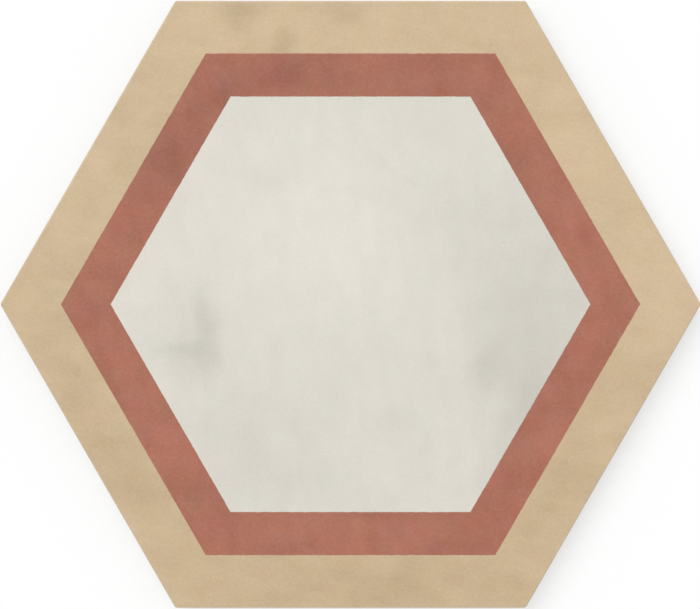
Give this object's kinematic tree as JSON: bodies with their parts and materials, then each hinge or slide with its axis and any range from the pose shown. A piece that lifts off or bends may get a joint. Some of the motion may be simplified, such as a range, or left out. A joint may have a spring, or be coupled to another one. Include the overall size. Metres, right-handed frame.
{
  "type": "hexagon floor tile",
  "caption": "Hexagonal glazed floor tile: printed bands round a plain field, rounded arris, and a honeycomb keyed back for tile adhesive.",
  "frame": {"origin": "centre of the back, on the plane that the tile lies on", "axes": "+Z out of the glazed face, +X towards a corner, +Y square to a side"},
  "size_m": [0.2306, 0.2, 0.009],
  "materials": {
    "glazed_porcelain": "matt glaze with a clouded cement-effect print in sand, terracotta red and off-white"
  },
  "bodies": {
    "root": {"hexagon_tile": "glazed_porcelain"}
  },
  "joints": []
}
